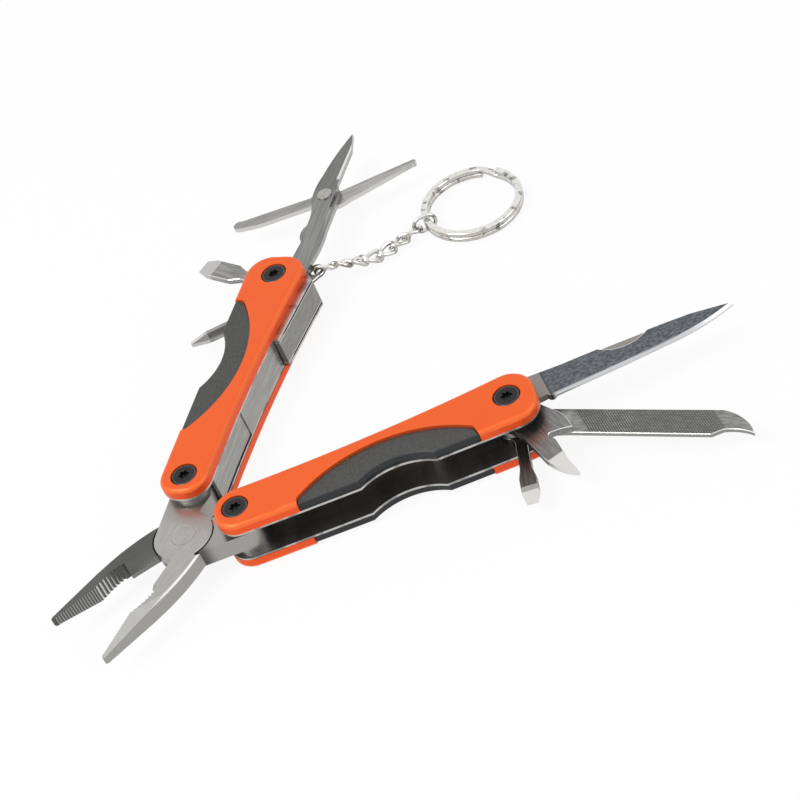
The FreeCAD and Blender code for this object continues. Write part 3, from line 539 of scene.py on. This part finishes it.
def twisted_link(name, inner_half, twist):
    bpy.ops.object.select_all(action="DESELECT")
    bend = (LINK_INNER_WIDTH + WIRE) / 2
    bpy.ops.mesh.primitive_torus_add(major_segments=44, minor_segments=16,
                                     major_radius=bend, minor_radius=WIRE / 2)
    link = bpy.context.object
    link.name = name
    bpy.ops.object.mode_set(mode="EDIT")
    for way in (1, -1):
        bpy.ops.mesh.select_all(action="DESELECT")
        bpy.ops.object.mode_set(mode="OBJECT")
        for vertex in link.data.vertices:
            vertex.select = vertex.co.x * way > 1e-7
        bpy.ops.object.mode_set(mode="EDIT")
        bpy.ops.transform.translate(value=(way * (inner_half - LINK_INNER_WIDTH / 2), 0, 0))
    bpy.ops.mesh.select_all(action="SELECT")
    bpy.ops.mesh.subdivide(number_cuts=1)
    bpy.ops.object.mode_set(mode="OBJECT")
    turner = link.modifiers.new("twist", "SIMPLE_DEFORM")
    turner.deform_method = "TWIST"
    turner.deform_axis = "X"
    turner.angle = math.radians(twist)
    only(link)
    bpy.ops.object.modifier_apply(modifier="twist")
    bpy.ops.object.shade_smooth()
    return link

# %% [markdown]
# Each link is laid between two hooks, which are the pivots of the record's chain joints, and is
# rolled about its own length. Rolls that drift slowly from link to link let the chain lie flat
# on the table and still pass through the upright eye at each end.

# %% The chain
chrome = Finish("nickel_plate", (0.84, 0.82, 0.78), 0.13)
chrome.grain(1.1, (1, 1, 1), 0.15, 0.12, 0.006)
# Painted shade on upright faces.
chrome.lay(chrome.ramp(chrome.level, 0.75, 0.25, 0.0, 0.55), colour=(0.3, 0.285, 0.265))
# Painted reflections: dark streaks in the plating.
dark_reflection_streaks = chrome.noise(0.55, (1, 1, 1), 3.0)
chrome.lay(chrome.ramp(dark_reflection_streaks, 0.56, 0.66, 0.0, 0.8), colour=(0.13, 0.122, 0.115))
ROLLS = (-45, -30, -15, 0, 0, -15, -38)
hooks = [joint["link_%d_hinge" % (i + 1)] for i in range(len(ROLLS))] + [joint["loop_hinge"]]
links = []
for number, roll in enumerate(ROLLS):
    a, b = hooks[number], hooks[number + 1]
    link = twisted_link("curb_link_%d" % (number + 1), ((b - a).length + LINK_PLAY) / 2, 90)
    heading = (b - a).to_track_quat("X", "Z").to_matrix().to_4x4()
    rolled = heading @ Matrix.Rotation(math.radians(roll), 4, "X")
    link.matrix_world = Matrix.Translation((a + b) / 2) @ rolled
    only(link)
    bpy.ops.object.transform_apply(location=True, rotation=True, scale=True)
    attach(link, "link_%d" % (number + 1))
    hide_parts("chain_link_%d" % (number + 1))
    links.append(link)
print("links:", len(links))

# %% [markdown]
# The split ring is one flat wire wound twice. Its section is a small square with rounded corners.
# The section is spun almost once round at the lower level, stepped up in a short ramp, and spun
# round again on top of the first turn, which leaves the two ends where a key is slid on.

# %% The split ring
RING_RADIUS = 11.8 * MM
RING_BAND = 1.6 * MM
TURN_HEIGHT = 1.2 * MM
TURN_GAP = 0.1 * MM
RING_TILT = 2.9
RAMP_START, RAMP_END = 40, 60
ring_low, ring_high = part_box("split_ring")
ring_centre = Vector((ring_high[0] - RING_RADIUS, (ring_low[1] + ring_high[1]) / 2, 0))

bpy.ops.object.select_all(action="DESELECT")
bpy.ops.mesh.primitive_plane_add(size=1, location=(RING_RADIUS - RING_BAND / 2, 0, TURN_HEIGHT / 2),
                                 rotation=(math.radians(90), 0, 0))
ring = bpy.context.object
ring.name = "key_ring"
ring.scale = (RING_BAND, TURN_HEIGHT, 1)
bpy.ops.object.transform_apply(location=True, rotation=True, scale=True)
bpy.ops.object.mode_set(mode="EDIT")
bpy.ops.mesh.select_all(action="SELECT")
bpy.ops.mesh.bevel(offset=0.42 * MM, segments=5, affect="VERTICES")
bpy.ops.mesh.select_all(action="SELECT")
bpy.ops.transform.rotate(value=-math.radians(RAMP_END), orient_axis="Z", center_override=(0, 0, 0))

def wind(angle, steps, rise=0.0):
    """Carries the selected section round the ring's axis, and up by a rise."""
    for _ in range(steps):
        bpy.ops.mesh.extrude_region_move(TRANSFORM_OT_translate={"value": (0, 0, rise / steps)})
        bpy.ops.transform.rotate(value=-math.radians(angle / steps), orient_axis="Z",
                                 center_override=(0, 0, 0))

ramp = RAMP_END - RAMP_START
wind(360 - ramp, 85)
wind(ramp, 10, TURN_HEIGHT + TURN_GAP)
wind(360 - ramp, 85)
bpy.ops.object.mode_set(mode="OBJECT")
size = [max(v.co[i] for v in ring.data.vertices) - min(v.co[i] for v in ring.data.vertices) for i in range(3)]
print("ring is", [round(v / MM, 2) for v in size], "mm")

# %% [markdown]
# The ring leans a little, because its left side rests on the chain's last loop.

# %% Ring in its place
right_edge = Matrix.Translation((RING_RADIUS, 0, 0))
lean = right_edge @ Matrix.Rotation(math.radians(RING_TILT), 4, "Y") @ right_edge.inverted()
ring.matrix_world = Matrix.Translation(ring_centre) @ lean
only(ring)
bpy.ops.object.transform_apply(location=True, rotation=True, scale=True)
bpy.ops.object.mode_set(mode="EDIT")
bpy.ops.mesh.select_all(action="SELECT")
bpy.ops.mesh.normals_make_consistent(inside=False)
bpy.ops.object.mode_set(mode="OBJECT")
bpy.ops.object.shade_smooth_by_angle(angle=math.radians(50))
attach(ring, "ring")
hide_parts("split_ring")
plain_links = ["chain_link_%d" % (i + 1) for i in range(len(ROLLS))]
chrome.wear_on(ring, "ring_loop", *links, "split_ring", *plain_links)

# %% [markdown]
# The tool lies on a white table in soft light. The floor and the sky look pure white to the camera
# and in reflections, while the light that falls on the tool stays at a plain level.

# %% Which rays see the background
GLOW_SHARE = 0.9
SKY_ON_TOOL = 0.6


def seen_directly(tree):
    """1 for rays from the camera, from a reflection or through glass, and 0 for plain light."""
    path = tree.nodes.new("ShaderNodeLightPath")
    result = path.outputs["Is Camera Ray"]
    for kind in ("Is Glossy Ray", "Is Transmission Ray"):
        either = tree.nodes.new("ShaderNodeMath")
        either.operation = "MAXIMUM"
        tree.links.new(result, either.inputs[0])
        tree.links.new(path.outputs[kind], either.inputs[1])
        result = either.outputs[0]
    return result


print("floor glow", GLOW_SHARE, "sky on the tool", SKY_ON_TOOL)

# %% [markdown]
# The floor is matt white paper. A share of glow hides most of its shading, and the rest keeps the
# soft shadow under the handles.

# %% Floor
bpy.ops.object.select_all(action="DESELECT")
bpy.ops.mesh.primitive_plane_add(size=6, location=(0, 0, -0.0001))
floor = bpy.context.object
floor.name = "floor"
paper = bpy.data.materials.new("white_table")
paper.use_nodes = True
tree = paper.node_tree
tree.nodes["Principled BSDF"].inputs["Base Color"].default_value = (0.9, 0.9, 0.9, 1)
tree.nodes["Principled BSDF"].inputs["Roughness"].default_value = 0.9
glow = tree.nodes.new("ShaderNodeEmission")
glow.inputs["Strength"].default_value = 1.0
share = tree.nodes.new("ShaderNodeMath")
share.operation = "MULTIPLY"
share.inputs[1].default_value = GLOW_SHARE
tree.links.new(seen_directly(tree), share.inputs[0])
blend = tree.nodes.new("ShaderNodeMixShader")
tree.links.new(share.outputs[0], blend.inputs[0])
tree.links.new(tree.nodes["Principled BSDF"].outputs[0], blend.inputs[1])
tree.links.new(glow.outputs[0], blend.inputs[2])
tree.links.new(blend.outputs[0], tree.nodes["Material Output"].inputs["Surface"])
floor.data.materials.append(paper)
print("floor ready")

# %% [markdown]
# The sky is the same white, but gives the tool less light than it shows.

# %% Sky
world = bpy.data.worlds.new("studio")
bpy.context.scene.world = world
world.use_nodes = True
sky = world.node_tree
back = sky.nodes["Background"]
level = sky.nodes.new("ShaderNodeMapRange")
level.inputs["To Min"].default_value = SKY_ON_TOOL
level.inputs["To Max"].default_value = 1.0
sky.links.new(seen_directly(sky), level.inputs["Value"])
back.inputs["Color"].default_value = (1, 1, 1, 1)
sky.links.new(level.outputs[0], back.inputs["Strength"])
print("sky ready")

# %% [markdown]
# A wide lamp high on the left is the key, and a second one opposite fills the shade.

# %% Lamps
def lamp(name, place, size, watts, aim=(0, 0, 0)):
    light = bpy.data.lights.new(name, "AREA")
    light.shape = "RECTANGLE"
    light.size, light.size_y = size
    light.energy = watts
    thing = bpy.data.objects.new(name, light)
    thing.location = place
    thing.rotation_euler = (Vector(aim) - Vector(place)).to_track_quat("-Z", "Y").to_euler()
    bpy.context.scene.collection.objects.link(thing)
    return thing

lamp("key", (-0.45, -0.15, 0.7), (0.4, 0.4), 3.6)
lamp("fill", (0.6, -0.35, 0.45), (0.5, 0.5), 1.2)

# %% [markdown]
# The camera looks down at about forty degrees with a long lens, and is rolled so that the tool
# lies across the frame.

# %% Camera
CAMERA_TARGET = Vector((0.00676, -0.02724, 0.0131))
CAMERA_DISTANCE = 0.48595
CAMERA_ELEVATION = 41.8
CAMERA_ROLL = -24.56
data = bpy.data.cameras.new("camera")
data.sensor_width = 36
data.lens = 107.57
data.clip_start = 0.01
data.clip_end = 20
camera = bpy.data.objects.new("camera", data)
bpy.context.scene.collection.objects.link(camera)
lift = math.radians(CAMERA_ELEVATION)
camera.location = CAMERA_TARGET + Vector((0, -math.cos(lift), math.sin(lift))) * CAMERA_DISTANCE
tilt = Euler((math.pi / 2 - lift, 0, 0)).to_matrix()
camera.rotation_euler = (tilt @ Matrix.Rotation(math.radians(CAMERA_ROLL), 3, "Z")).to_euler()
bpy.context.scene.camera = camera
bpy.context.scene.view_settings.view_transform = "Standard"
print("camera", tuple(round(v, 4) for v in camera.location))
